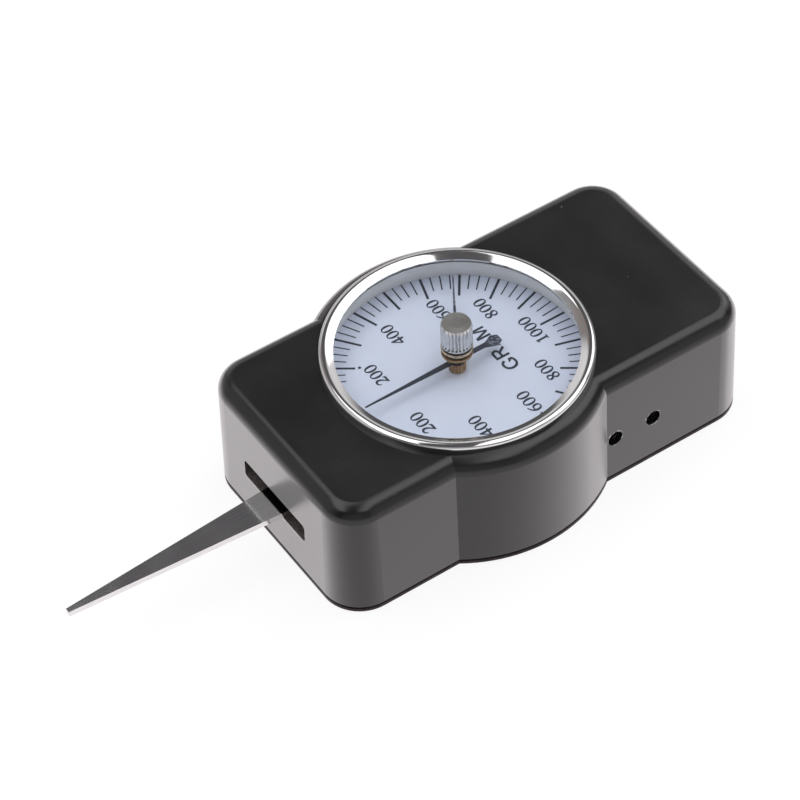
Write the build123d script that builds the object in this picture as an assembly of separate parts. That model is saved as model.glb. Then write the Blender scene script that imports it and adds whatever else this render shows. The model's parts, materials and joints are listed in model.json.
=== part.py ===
from build123d import *
import os
from math import acos, asin, atan2, cos, degrees, pi, radians, sin, sqrt, tan

# Dial force gauge. A tapered feeler arm swings in a slot of the case against a pair of leaf
# springs, and a toothed sector on the arm's shaft turns the pointer. A second pointer under
# the lens is set by hand with the knob and keeps the highest reading.
#
# Millimetres. The dial axis is x = y = 0, the feeler points along -Y, +Z comes out of the
# dial, and z = 0 is the face that the gauge rests on.

# ---------------------------------------------------------------- clearances
SEAT = 0.01            # radial, between pieces that are fixed to each other
RUN = 0.03             # radial, arm shaft and knob spindle in their bushes
FINE_RUN = 0.02        # radial, pointer arbor in its bushes
END_PLAY = 0.05        # axial, along every turning shaft
SLIT_PLAY = 0.01       # each side of a leaf spring in its clamp

# ---------------------------------------------------------------- case
case_width = 49.4
back_reach = 53.4            # dial axis to the back face
case_corner_radius = 7.5
case_draft = 0.75            # how far each wall flares out at the bottom
case_wall = 2.2
roof_thickness = 2.2
top_edge_radius = 3.2
seam_chamfer = 0.25
bulge_flat = 0.16            # flat of the case top outside the bezel
cover_thickness = 1.2
cover_screw_inset = 5.75     # in from the case's top outline
cover_boss_radius = 3.2
cover_boss_depth = 8.0

# ---------------------------------------------------------------- dial stack
dial_radius = 26.5
dial_thickness = 0.5
dial_play = 0.1              # radial, dial in its bore
dial_hole_radius = 1.2
dial_depth = 5.85            # case top down to the face of the dial
shelf_thickness = 1.75
shelf_width = 4.1
well_wall = 2.0
bezel_ledge = 0.2            # how much the bezel's bore is larger than the dial's
bezel_bore_depth = 2.85
bezel_skirt_play = 0.05
bezel_skirt_wall = 0.85
bezel_lip = 0.24             # overlap of the bezel on the case top
bezel_width = 2.94
bezel_height = 1.6           # crest above the case top
bezel_inner_height = 0.95    # inner edge above the case top
bezel_face_sag = 0.07        # hollow of the sloping face
bezel_crest_radius = 0.4
lens_stand = 0.65            # lens top above the case top
lens_thickness = 1.2
lens_play = 0.05
reflector_wall = 0.5         # wall of the reflector ring at the dial
reflector_overhang = 0.2     # reflector's top edge outside the bezel's inner edge

# ---------------------------------------------------------------- movement, upwards
plate_floor_gap = 2.0        # cover to lower plate
lower_plate_thickness = 1.5
carrier_gap = 3.0            # lower plate to arm carrier
carrier_height = 3.25
spring_width = 5.6
bridge_gap = 0.35            # springs to arbor bridge
bridge_thickness = 1.0
bush_flange = 0.3
pinion_width = 2.0
sector_thickness = 1.0
hairspring_gap = 0.25
hairspring_height = 0.6
upper_plate_thickness = 1.2
plate_shelf_gap = 0.3

# ---------------------------------------------------------------- gearing
gear_module = 0.4
pinion_teeth = 10
sector_full_teeth = 120      # teeth that a whole wheel of this radius would have
sector_teeth = 13
pressure_angle = radians(25)
tooth_addendum = 0.8         # in modules
tooth_dedendum = 1.1         # in modules
backlash = 0.03              # taken off the thickness of each tooth
arm_travel = 15.0            # degrees, each way
sector_margin_angle = 0.6    # degrees of web beyond the last teeth
sector_window_margin = 2.2
sector_window_share = 0.55   # of the sector's angle

# ---------------------------------------------------------------- feeler arm
blade_overhang = 46.5        # tip beyond the front face
blade_tip_width = 1.1
blade_slot_width = 7.3       # width at the front face
blade_thickness = 1.5
blade_edge = 0.2
slot_width = 21.4
slot_height = 4.3
slot_below_blade = 0.6
slot_corner_radius = 0.8
carrier_width = 7.2
carrier_front_gap = 1.8      # carrier to the case's front wall
arm_screw_margin = 2.6       # from the carrier's front
arm_screw_setback = 5.1      # rear arm screw in front of the pivot
arm_shaft_radius = 1.5
arm_journal_radius = 1.0
arm_bush_radius = 2.0
arm_bush_flange_radius = 2.7
sector_boss_radius = 3.2
sector_boss_drop = 1.4
stop_pin_radius = 0.9
stop_pin_reach = 18.0        # from the arm's pivot
stop_clearance = 0.1
stop_pin_drop = 0.3          # pins below the sector

# ---------------------------------------------------------------- springs and zero adjustment
leaf_thickness = 0.4
leaf_spacing = 0.4
clamp_start = 5.4            # from the arm's pivot to the carrier's spring clamp
clamp_length = 5.6
clamp_end_wall = 0.4         # carrier in front of the springs' ends
anchor_from_back = 28.85     # anchor's post to the back face
anchor_width = 9.0
anchor_length = 14.0
anchor_slit_length = 11.2
anchor_clamp_reaches = [3.5, 8.4]      # clamp screws from the anchor's front
anchor_cap = 0.7             # anchor above the springs
anchor_post_radius = 1.5
adjuster_spacing = 9.3
adjuster_radius = 1.3
adjuster_slot_depth = 0.7
adjuster_slot_width = 0.4
adjuster_end_gap = 2.1       # end of the adjusting screws to the case's outside face
access_hole_radius = 1.7
adjuster_above_blade = -0.15  # screws' axis above the middle of the blade
bracket_from_wall = 7.2      # bracket's middle to the case's outside face
bracket_thickness = 2.5
bracket_length = 16.0
bracket_foot = 5.4
bracket_foot_thickness = 1.3
bracket_screw_spacing = 9.6

# ---------------------------------------------------------------- movement, in plan
upper_plate_inset = 3.4      # from the case's side
lower_plate_inset = 6.2
plate_front_inset = 10.5     # plates' front edge to the case's front face
plate_back_inset = 12.2
plate_corner_radius = 3.0
pillar_radius = 2.0
pillar_side_inset = 9.2
pillar_front_inset = 3.1     # from the plates' front edge
pillar_boss_gap = 0.9        # front pillars' screw heads to the movement screws' bosses
pillar_back_inset = 5.2
pillar_spigot_radius = 1.2
rivet_stand = 0.2            # pillar spigots and post rivets beyond their plates
movement_boss_radius = 2.4
movement_boss_bite = 0.24    # how far these bosses reach into the dial well's wall
movement_screw_inset = 6.1   # from the case's side
bridge_half_length = 14.2
bridge_width = 7.0
bridge_post_offset = 12.0
bridge_post_radius = 1.6
arbor_radius = 0.8
arbor_pivot_radius = 0.5
arbor_bush_radius = 1.35
arbor_bush_flange_radius = 1.9
collet_radius = 1.5
hairspring_turns = 4
hairspring_pitch = 1.0
hairspring_thickness = 0.14
stud_radius = 0.55

# ---------------------------------------------------------------- pointers and knob
pointer_gap = 2.4            # dial face to pointer
pointer_thickness = 0.2
pointer_reach = 21.6
pointer_tail = 10.15
pointer_root_width = 1.25
pointer_tip_width = 0.26
tail_width = 3.0
hub_radius = 1.72
hub_flutes = 14
hub_foot_gap = 0.1
hub_neck_radius = 1.15
hub_neck_height = 0.2        # above the pointer
hub_flute_depth = 0.18
hub_crest = 0.56             # share of the flute pitch
spade_start = 6.9            # from the dial axis
spade_shoulder = 8.95
peak_gap = 0.9               # pointer to peak pointer
peak_reach = 22.1
peak_root_width = 0.85
peak_rest_angle = 122.8      # degrees from -Y towards -X
peak_hub_radius = 1.5
peak_tab_reach = 9.0
peak_tab_clearance = 0.3     # above the pointer
peak_tab_width = 0.4
peak_hub_gap = 0.4           # peak hub to the pointer's hub
peak_hub_shoulder = 0.45     # radial, shoulder that the peak pointer sits on
knob_radius = 3.15
knob_height = 5.4
knob_flutes = 25
knob_flute_depth = 0.25
knob_crest = 0.26            # share of the flute pitch
knob_chamfer = 0.25          # radial
knob_chamfer_height = 0.6
knob_rim_height = 0.35       # plain rim below the flutes
knob_bore_depth = 4.2
spindle_radius = 0.8
bush_sleeve_radius = 1.85
bush_flange_radius = 3.2
bush_flange_height = 0.65
bush_chamfer = 0.15
bush_nut_radius = 3.15
bush_nut_height = 0.6
friction_washer_radius = 3.05
friction_washer_height = 0.7

# ---------------------------------------------------------------- screws (radii, lengths)
cover_shank, cover_head, cover_length = 1.2, 2.4, 6.0
cover_head_recess = 0.05
movement_shank, movement_head, movement_head_height, movement_length = 0.8, 1.7, 0.9, 4.0
pillar_shank, pillar_head, pillar_head_height, pillar_screw_length = 0.8, 1.6, 1.0, 4.0
post_shank, post_head, post_head_height, post_screw_length = 0.7, 1.35, 0.6, 3.4
arm_shank, arm_head, arm_head_height, arm_screw_length = 0.9, 1.6, 0.9, 4.2
clamp_shank, clamp_head, clamp_head_height = 0.7, 1.3, 0.8
foot_shank, foot_head, foot_head_height, foot_screw_length = 0.8, 1.4, 0.8, 2.6
anchor_shank, anchor_head, anchor_head_height, anchor_screw_length = 0.8, 2.2, 0.8, 3.6
anchor_clamp_depth = 7.8

# ---------------------------------------------------------------- heights worked out
lower_plate_z = cover_thickness + plate_floor_gap
lower_plate_top = lower_plate_z + lower_plate_thickness
carrier_z = lower_plate_top + carrier_gap
blade_z = carrier_z + carrier_height
blade_top = blade_z + blade_thickness
spring_top = carrier_z + spring_width
bridge_z = spring_top + bridge_gap
bridge_top = bridge_z + bridge_thickness
pinion_z = bridge_top + bush_flange + END_PLAY
pinion_top = pinion_z + pinion_width
sector_z = pinion_z + (pinion_width - sector_thickness) / 2
sector_top = sector_z + sector_thickness
hairspring_z = pinion_top + hairspring_gap
collet_top = hairspring_z + hairspring_height + END_PLAY
upper_plate_z = collet_top + END_PLAY + bush_flange
upper_plate_top = upper_plate_z + upper_plate_thickness
shelf_z = upper_plate_top + plate_shelf_gap
dial_z = shelf_z + shelf_thickness
dial_face_z = dial_z + dial_thickness
case_height = dial_face_z + dial_depth
lens_top = case_height + lens_stand
lens_z = lens_top - lens_thickness
pointer_z = dial_face_z + pointer_gap
pointer_top = pointer_z + pointer_thickness
peak_z = pointer_top + peak_gap
peak_hub_z = pointer_top + hub_neck_height + peak_hub_gap
knob_z = lens_top + bush_flange_height + friction_washer_height
slot_z = blade_z - slot_below_blade
adjuster_z = blade_z + blade_thickness / 2 + adjuster_above_blade

# ---------------------------------------------------------------- plan sizes worked out
half_width = case_width / 2
peak_neck_radius = peak_hub_radius - peak_hub_shoulder
inner_half_width = half_width - case_wall
dial_bore_radius = dial_radius + dial_play
bezel_bore_radius = dial_bore_radius + bezel_ledge
bezel_radius = bezel_bore_radius + bezel_lip
bezel_inner_radius = bezel_radius - bezel_width
bezel_skirt_radius = bezel_bore_radius - bezel_skirt_play
lens_radius = bezel_skirt_radius - bezel_skirt_wall - lens_play
bulge_radius = bezel_radius + bulge_flat + top_edge_radius
well_radius = dial_bore_radius + well_wall
pinion_pitch_radius = gear_module * pinion_teeth / 2
sector_pitch_radius = gear_module * sector_full_teeth / 2
pivot_y = -(pinion_pitch_radius + sector_pitch_radius)
movement_screw_x = half_width - movement_screw_inset
movement_screw_y = sqrt(
    (well_radius + movement_boss_radius - movement_boss_bite) ** 2 - movement_screw_x ** 2)
front_pillar_y = -(movement_screw_y + movement_boss_radius + pillar_boss_gap + pillar_head)
plate_front_y = front_pillar_y - pillar_front_inset
front_reach = plate_front_inset - plate_front_y      # dial axis to the front face
blade_tip_y = -(front_reach + blade_overhang)
blade_taper = (blade_slot_width - blade_tip_width) / blade_overhang
blade_root_width = blade_tip_width + blade_taper * (pivot_y - blade_tip_y)
carrier_front_y = -(front_reach - case_wall - carrier_front_gap)
clamp_y = pivot_y + clamp_start
spring_start_y = clamp_y + clamp_end_wall
slit_half_width = leaf_spacing / 2 + leaf_thickness + SLIT_PLAY
anchor_y = back_reach - anchor_from_back
anchor_front_y = anchor_y - anchor_length / 2
plate_back_y = back_reach - plate_back_inset
cover_screw_places = [
    (side * (half_width - cover_screw_inset), y)
    for side in (-1, 1)
    for y in (-(front_reach - cover_screw_inset), back_reach - cover_screw_inset)
]
pillar_places = [
    (side * (half_width - pillar_side_inset), y)
    for side in (-1, 1)
    for y in (front_pillar_y, plate_back_y - pillar_back_inset)
]
movement_screw_places = [
    (side * movement_screw_x, end * movement_screw_y) for side in (-1, 1) for end in (-1, 1)
]
bridge_post_places = [(-bridge_post_offset, 0), (bridge_post_offset, 0)]
adjuster_places = [anchor_y - adjuster_spacing / 2, anchor_y + adjuster_spacing / 2]
sector_half_angle = 180 * sector_teeth / sector_full_teeth + sector_margin_angle
stop_angle = (
    sector_half_angle + arm_travel
    + degrees(asin((stop_pin_radius + stop_clearance) / stop_pin_reach))
)
stop_places = [
    (side * stop_pin_reach * sin(radians(stop_angle)),
     pivot_y + stop_pin_reach * cos(radians(stop_angle)))
    for side in (-1, 1)
]
stud_y = collet_radius + hairspring_turns * hairspring_pitch + hairspring_thickness + stud_radius


# ---------------------------------------------------------------- shapes
def disc(radius, low, high, x=0, y=0):
    """Upright cylinder between two heights."""
    return Pos(x, y, (low + high) / 2) * Cylinder(radius, high - low)


def ring(outer, inner, low, high, x=0, y=0):
    """Upright tube between two heights."""
    return disc(outer, low, high, x, y) - disc(inner, low, high, x, y)


def block(x_low, x_high, y_low, y_high, low, high):
    """Box between two corners."""
    middle = Pos((x_low + x_high) / 2, (y_low + y_high) / 2, (low + high) / 2)
    return middle * Box(x_high - x_low, y_high - y_low, high - low)


def slab(half_x, y_low, y_high, radius, low, high):
    """Plate with rounded corners, centred on x = 0."""
    outline = RectangleRounded(2 * half_x, y_high - y_low, radius)
    return extrude(Pos(0, (y_low + y_high) / 2, low) * outline, high - low)


def rod_x(radius, x_low, x_high, y, z):
    """Cylinder that lies along X."""
    return Pos((x_low + x_high) / 2, y, z) * Rot(0, 90, 0) * Cylinder(radius, x_high - x_low)


def screw(shank_radius, shank_length, head_radius, head_height):
    """Slotted cheese-head screw: head above z = 0, shank below."""
    body = disc(head_radius, 0, head_height) + disc(shank_radius, -shank_length, 0)
    slot_half = head_radius * 0.16
    return body - block(-head_radius, head_radius, -slot_half, slot_half,
                        head_height * 0.55, head_height + 1)


def countersunk_screw(shank_radius, shank_length, head_radius, head_height):
    """Slotted countersunk screw: head above z = 0, shank below."""
    cone = Pos(0, 0, head_height / 2) * Cone(shank_radius, head_radius, head_height)
    slot_half = head_radius * 0.14
    body = cone + disc(shank_radius, -shank_length, 0)
    return body - block(-head_radius, head_radius, -slot_half, slot_half,
                        head_height * 0.55, head_height + 1)


def tooth(teeth, angle):
    """One involute tooth about the origin, pointing at `angle`, rooted a little inside the blank."""
    pitch_radius = gear_module * teeth / 2
    base_radius = pitch_radius * cos(pressure_angle)
    root_radius = pitch_radius - tooth_dedendum * gear_module
    tip_radius = pitch_radius + tooth_addendum * gear_module
    half_at_pitch = (pi * gear_module / 2 - backlash) / 2 / pitch_radius

    def half_angle(radius):
        slope = acos(min(1, base_radius / radius))
        return half_at_pitch + tan(pressure_angle) - pressure_angle - tan(slope) + slope

    def point(radius, side):
        turn = angle + side * half_angle(max(radius, base_radius))
        return (radius * cos(turn), radius * sin(turn))

    flank_start = max(root_radius, base_radius)
    flank_middle = (flank_start + tip_radius) / 2
    buried = root_radius - 0.1 * gear_module
    edges = []
    for side in (-1, 1):
        edges.append(Line(point(buried, side), point(flank_start, side)))
        edges.append(ThreePointArc(point(flank_start, side), point(flank_middle, side),
                                   point(tip_radius, side)))
    edges.append(Line(point(tip_radius, -1), point(tip_radius, 1)))
    edges.append(Line(point(buried, -1), point(buried, 1)))
    return make_face(Wire.combine(edges)[0])


def fluted(radius, depth, flutes, crest, low, high):
    """Upright cylinder with straight V flutes; crest is the share of the pitch left round."""
    outline = []
    for flute in range(flutes):
        for share, reach in ((-crest / 2, radius), (crest / 2, radius), (0.5, radius - depth)):
            turn = 2 * pi * (flute + share) / flutes
            outline.append((reach * cos(turn), reach * sin(turn)))
    return extrude(Pos(0, 0, low) * make_face(Polyline(outline, close=True)), high - low)


def turned(points):
    """Solid of revolution about the dial axis from (radius, height) points."""
    face = make_face(Polyline([(r, 0, z) for r, z in points], close=True))
    return revolve(face, Axis.Z)


def save(name, *solids):
    """Writes one node."""
    shape = solids[0] if len(solids) == 1 else Compound(children=[s.solid() for s in solids])
    export_step(shape, f"parts/{name}.step")


# ---------------------------------------------------------------- case and cover
def case_plan(grow, low, high, draft_out):
    """Box of the case: its plan at the top, flaring by draft_out towards the bottom."""
    grow += draft_out
    plan = RectangleRounded(case_width + 2 * grow, front_reach + back_reach + 2 * grow,
                            case_corner_radius + grow)
    taper = degrees(atan2(draft_out, high - low))
    return extrude(Pos(0, (back_reach - front_reach) / 2, low) * plan, high - low, taper=taper)


def housing():
    """Moulded case with a round bulge for the dial, open at the bottom."""
    low, high = cover_thickness, case_height
    box = case_plan(0, low, high, case_draft)
    box = fillet(box.faces().sort_by(Axis.Z)[-1].edges(), top_edge_radius)
    bulge = Pos(0, 0, (low + high) / 2) * Cone(bulge_radius + case_draft, bulge_radius, high - low)
    bulge = fillet(bulge.edges().filter_by(GeomType.CIRCLE).sort_by(Axis.Z)[-1], top_edge_radius)
    box = chamfer(box.faces().sort_by(Axis.Z)[0].edges(), seam_chamfer)
    bulge = chamfer(bulge.edges().filter_by(GeomType.CIRCLE).sort_by(Axis.Z)[0], seam_chamfer)
    outside = box + bulge

    ceiling = case_height - roof_thickness
    cavity = case_plan(-case_wall, low, ceiling, 0) + disc(bulge_radius - case_wall, low, ceiling)
    cavity -= disc(well_radius, shelf_z, ceiling)
    for x, y in movement_screw_places:
        cavity -= disc(movement_boss_radius, upper_plate_top, ceiling, x, y)
    for x, y in cover_screw_places:
        cavity -= disc(cover_boss_radius, low, ceiling, x, y)
    shell = outside - cavity
    shell -= disc(dial_bore_radius - shelf_width, shelf_z, dial_z)
    shell -= disc(dial_bore_radius, dial_z, case_height)
    shell -= disc(bezel_bore_radius, case_height - bezel_bore_depth, case_height)
    for x, y in movement_screw_places:
        shell -= disc(movement_shank + SEAT, upper_plate_top,
                      upper_plate_z + movement_length + END_PLAY, x, y)
    for x, y in cover_screw_places:
        shell -= disc(cover_shank + SEAT, low, low + cover_boss_depth, x, y)
    slot = Plane.XZ.offset(front_reach + case_draft + 1) * Pos(0, slot_z + slot_height / 2)
    slot_face = slot * RectangleRounded(slot_width, slot_height, slot_corner_radius)
    shell -= extrude(slot_face, -(case_wall + case_draft + 2))
    for y in adjuster_places:
        shell -= rod_x(access_hole_radius, inner_half_width - 1, half_width + case_draft + 1,
                       y, adjuster_z)
    return shell


def back_cover():
    """Flat cover plate with the case's bottom outline and four countersunk holes."""
    plate = case_plan(case_draft, 0, cover_thickness, 0)
    plate += disc(bulge_radius + case_draft, 0, cover_thickness)
    plate = chamfer(plate.faces().sort_by(Axis.Z)[-1].edges(), seam_chamfer)
    plate = chamfer(plate.faces().sort_by(Axis.Z)[0].edges(), seam_chamfer)
    sink_height = cover_thickness - cover_head_recess
    for x, y in cover_screw_places:
        plate -= disc(cover_head + SEAT, 0, cover_head_recess, x, y)
        plate -= Pos(x, y, cover_head_recess + sink_height / 2) * Cone(
            cover_head + SEAT, cover_shank + SEAT, sink_height)
    return plate


def cover_screws():
    head_height = cover_thickness - cover_head_recess
    flipped = Rot(180, 0, 0) * countersunk_screw(cover_shank, cover_length, cover_head, head_height)
    return [Pos(x, y, cover_thickness) * flipped for x, y in cover_screw_places]


def bezel_ring():
    """Spun ring: rounded crest, hollow face sloping in, skirt down into the case."""
    skirt_inner = bezel_skirt_radius - bezel_skirt_wall
    crest = case_height + bezel_height
    inner_edge = case_height + bezel_inner_height
    r = bezel_crest_radius
    outline = Polyline(
        (bezel_radius, 0, crest - r), (bezel_radius, 0, case_height),
        (bezel_skirt_radius, 0, case_height),
        (bezel_skirt_radius, 0, case_height - bezel_bore_depth),
        (skirt_inner, 0, case_height - bezel_bore_depth),
        (skirt_inner, 0, lens_top), (bezel_inner_radius, 0, lens_top),
        (bezel_inner_radius, 0, inner_edge))
    crown_start = (bezel_radius - 2 * r, 0, crest - 0.35 * r)
    middle = ((bezel_inner_radius + crown_start[0]) / 2,
              0, (inner_edge + crown_start[2]) / 2 - bezel_face_sag)
    face = ThreePointArc((bezel_inner_radius, 0, inner_edge), middle, crown_start)
    crown = ThreePointArc(
        crown_start, (bezel_radius - 0.9 * r, 0, crest), (bezel_radius, 0, crest - r))
    return revolve(make_face(Wire.combine([*outline.edges(), face, crown])[0]), Axis.Z)


def reflector_ring():
    """Pale conical ring between dial and lens."""
    step = case_height - bezel_bore_depth
    return turned([
        (dial_radius - reflector_wall, dial_face_z), (dial_radius, dial_face_z),
        (dial_radius, step), (lens_radius, step), (lens_radius, lens_z),
        (bezel_inner_radius + reflector_overhang, lens_z)])


# ---------------------------------------------------------------- movement plates
def lower_plate():
    half_x = half_width - lower_plate_inset
    plate = slab(half_x, plate_front_y, plate_back_y, plate_corner_radius,
                 lower_plate_z, lower_plate_top)
    holes = [(x, y, pillar_spigot_radius) for x, y in pillar_places]
    holes.append((0, pivot_y, arm_bush_radius))
    holes.append((0, anchor_y, anchor_post_radius))
    holes += [(x, y, foot_shank) for x, y in foot_screw_places()]
    for x, y, radius in holes:
        plate -= disc(radius + SEAT, lower_plate_z, lower_plate_top, x, y)
    return plate


def upper_plate():
    half_x = half_width - upper_plate_inset
    plate = slab(half_x, plate_front_y, plate_back_y, plate_corner_radius,
                 upper_plate_z, upper_plate_top)
    holes = [(x, y, pillar_shank) for x, y in pillar_places]
    holes += [(x, y, movement_shank) for x, y in movement_screw_places]
    holes += [(x, y, post_shank) for x, y in bridge_post_places]
    holes += [(x, y, stop_pin_radius) for x, y in stop_places]
    holes += [(0, pivot_y, arm_bush_radius), (0, 0, arbor_bush_radius), (0, stud_y, stud_radius)]
    for x, y, radius in holes:
        plate -= disc(radius + SEAT, upper_plate_z, upper_plate_top, x, y)
    return plate


def pillars():
    solids = []
    for x, y in pillar_places:
        pillar = disc(pillar_radius, lower_plate_top, upper_plate_z, x, y)
        pillar += disc(pillar_spigot_radius, lower_plate_z - rivet_stand, lower_plate_top, x, y)
        depth = pillar_screw_length + END_PLAY - upper_plate_thickness
        pillar -= disc(pillar_shank + SEAT, upper_plate_z - depth, upper_plate_z, x, y)
        solids.append(pillar)
    return solids


def bridge_posts():
    solids = []
    for x, y in bridge_post_places:
        post = disc(bridge_post_radius, bridge_top, upper_plate_z, x, y)
        post += disc(post_shank, upper_plate_z, upper_plate_top + rivet_stand, x, y)
        depth = post_screw_length + END_PLAY - bridge_thickness
        post -= disc(post_shank + SEAT, bridge_top, bridge_top + depth, x, y)
        solids.append(post)
    return solids


def arbor_bridge():
    bridge = extrude(Pos(0, 0, bridge_z) * SlotOverall(2 * bridge_half_length, bridge_width),
                     bridge_thickness)
    for x, y in bridge_post_places:
        bridge -= disc(post_shank + SEAT, bridge_z, bridge_top, x, y)
    return bridge - disc(arbor_bush_radius + SEAT, bridge_z, bridge_top)


def flanged_bush(radius, flange_radius, bore, plate_low, plate_high, flange_up, y=0):
    """Bush pressed into a plate, with its thrust flange on the upper or lower side."""
    bush = disc(radius, plate_low, plate_high, 0, y)
    if flange_up:
        bush += disc(flange_radius, plate_high, plate_high + bush_flange, 0, y)
    else:
        bush += disc(flange_radius, plate_low - bush_flange, plate_low, 0, y)
    return bush - disc(bore, plate_low - bush_flange, plate_high + bush_flange, 0, y)


# ---------------------------------------------------------------- feeler
def feeler_arm():
    """Flat steel blade in a straight taper, with a round eye on the arm's shaft."""
    tip, root = blade_tip_width / 2, blade_root_width / 2
    outline = make_face(Polyline((-tip, blade_tip_y), (tip, blade_tip_y), (root, pivot_y),
                                 (-root, pivot_y), close=True))
    plan = outline + Pos(0, pivot_y) * Circle(root)
    blade = extrude(Pos(0, 0, blade_z) * plan, blade_thickness)
    for face in (blade.faces().sort_by(Axis.Z)[-1], blade.faces().sort_by(Axis.Z)[0]):
        blade = chamfer(face.edges(), blade_edge)
    blade -= disc(arm_shaft_radius + SEAT, blade_z, blade_top, 0, pivot_y)
    for y in arm_screw_places():
        blade -= disc(arm_shank + SEAT, blade_z, blade_top, 0, y)
    return blade


def arm_screw_places():
    front = carrier_front_y + arm_screw_margin
    return [front, pivot_y - arm_screw_setback]


def arm_carrier():
    """Block on the arm's shaft: the blade is screwed on top and the springs clamp behind."""
    clamp_back_y = clamp_y + clamp_length
    base = slab(carrier_width / 2, carrier_front_y, clamp_back_y, 1.0, carrier_z, blade_z)
    base += disc(blade_root_width / 2, carrier_z, blade_z, 0, pivot_y)
    head = slab(carrier_width / 2, clamp_y, clamp_back_y, 1.0, carrier_z, spring_top)
    carrier = base + head
    carrier -= block(-slit_half_width, slit_half_width, spring_start_y, clamp_back_y + 1,
                     carrier_z, spring_top)
    carrier -= disc(arm_shaft_radius + SEAT, carrier_z, blade_z, 0, pivot_y)
    for y in arm_screw_places():
        carrier -= disc(arm_shank + SEAT, carrier_z, blade_z, 0, y)
    return carrier - rod_x(clamp_shank + SEAT, -carrier_width, carrier_width, carrier_clamp_y(),
                           (carrier_z + spring_top) / 2)


def carrier_clamp_y():
    return (spring_start_y + clamp_y + clamp_length) / 2


def anchor_clamp_places():
    return [anchor_front_y + reach for reach in anchor_clamp_reaches]


def arm_shaft():
    low_end = lower_plate_top + bush_flange + END_PLAY
    high_end = upper_plate_z - bush_flange - END_PLAY
    shaft = disc(arm_shaft_radius, low_end, high_end, 0, pivot_y)
    return shaft + disc(arm_journal_radius, lower_plate_z, upper_plate_top, 0, pivot_y)


def sector_gear():
    """Toothed sector with a boss on the arm's shaft."""
    root_radius = sector_pitch_radius - tooth_dedendum * gear_module
    half = radians(sector_half_angle)
    corner = (root_radius * sin(half), root_radius * cos(half))
    left = (-corner[0], corner[1])
    web = make_face(Wire.combine([
        Line((0, 0), corner), ThreePointArc(corner, (0, root_radius), left), Line(left, (0, 0))])[0])
    window_out = root_radius - sector_window_margin
    window_in = sector_boss_radius + sector_window_margin
    window_half = radians(sector_half_angle) * sector_window_share
    a = (window_out * sin(window_half), window_out * cos(window_half))
    b = (window_in * sin(window_half), window_in * cos(window_half))
    window = make_face(Wire.combine([
        Line(b, a), ThreePointArc(a, (0, window_out), (-a[0], a[1])),
        Line((-a[0], a[1]), (-b[0], b[1])), ThreePointArc((-b[0], b[1]), (0, window_in), b)])[0])
    plan = web - window + Circle(sector_boss_radius)
    step = 2 * pi / sector_full_teeth
    first = -(sector_teeth - 1) / 2
    for index in range(sector_teeth):
        plan += tooth(sector_full_teeth, pi / 2 + (first + index) * step)
    gear = extrude(Pos(0, pivot_y, sector_z) * plan, sector_thickness)
    gear += disc(sector_boss_radius, sector_z - sector_boss_drop, sector_z, 0, pivot_y)
    return gear - disc(arm_shaft_radius + SEAT, sector_z - sector_boss_drop, sector_top, 0, pivot_y)


# ---------------------------------------------------------------- springs
def leaf_strip(x_low, x_high, y_low, y_high, holes):
    strip = block(x_low, x_high, y_low, y_high, carrier_z, spring_top)
    for y in holes:
        strip -= rod_x(clamp_shank + SEAT, x_low - 1, x_high + 1, y, (carrier_z + spring_top) / 2)
    return strip


def measuring_springs():
    """Two parallel leaves from the arm's carrier to the anchor."""
    holes = [carrier_clamp_y(), *anchor_clamp_places()]
    inner, outer = leaf_spacing / 2, leaf_spacing / 2 + leaf_thickness
    y_low, y_high = spring_start_y + SEAT, anchor_front_y + anchor_slit_length
    return [leaf_strip(inner, outer, y_low, y_high, holes),
            leaf_strip(-outer, -inner, y_low, y_high, holes)]


def carrier_shim():
    return leaf_strip(-leaf_spacing / 2, leaf_spacing / 2, spring_start_y + SEAT,
                      clamp_y + clamp_length, [carrier_clamp_y()])


def anchor_shim():
    return leaf_strip(-leaf_spacing / 2, leaf_spacing / 2, anchor_front_y,
                      anchor_front_y + anchor_slit_length, anchor_clamp_places())


def spring_anchor():
    """Block on a post that holds the springs' fixed ends and can be turned to set the zero."""
    anchor = slab(anchor_width / 2, anchor_front_y, anchor_front_y + anchor_length, 0.8,
                  lower_plate_top, spring_top + anchor_cap)
    anchor += disc(anchor_post_radius, lower_plate_z, lower_plate_top, 0, anchor_y)
    anchor -= block(-slit_half_width, slit_half_width, anchor_front_y - 1,
                    anchor_front_y + anchor_slit_length + SEAT, carrier_z, spring_top + 1)
    for y in anchor_clamp_places():
        anchor -= rod_x(clamp_shank + SEAT, -anchor_width, anchor_width / 2 - 1, y,
                        (carrier_z + spring_top) / 2)
    return anchor - disc(anchor_shank + SEAT, lower_plate_z,
                         lower_plate_z + anchor_screw_length + END_PLAY, 0, anchor_y)


def clamp_screw(x_head, length, y):
    """Clamp screw along X, with its head on the -X side."""
    along = Pos(x_head, y, (carrier_z + spring_top) / 2) * Rot(0, -90, 0)
    return along * screw(clamp_shank, length, clamp_head, clamp_head_height)


def bracket_x():
    return half_width - bracket_from_wall


def foot_screw_places():
    x = bracket_x() - bracket_thickness / 2 - bracket_foot / 2
    return [(x, anchor_y - bracket_screw_spacing / 2), (x, anchor_y + bracket_screw_spacing / 2)]


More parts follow.
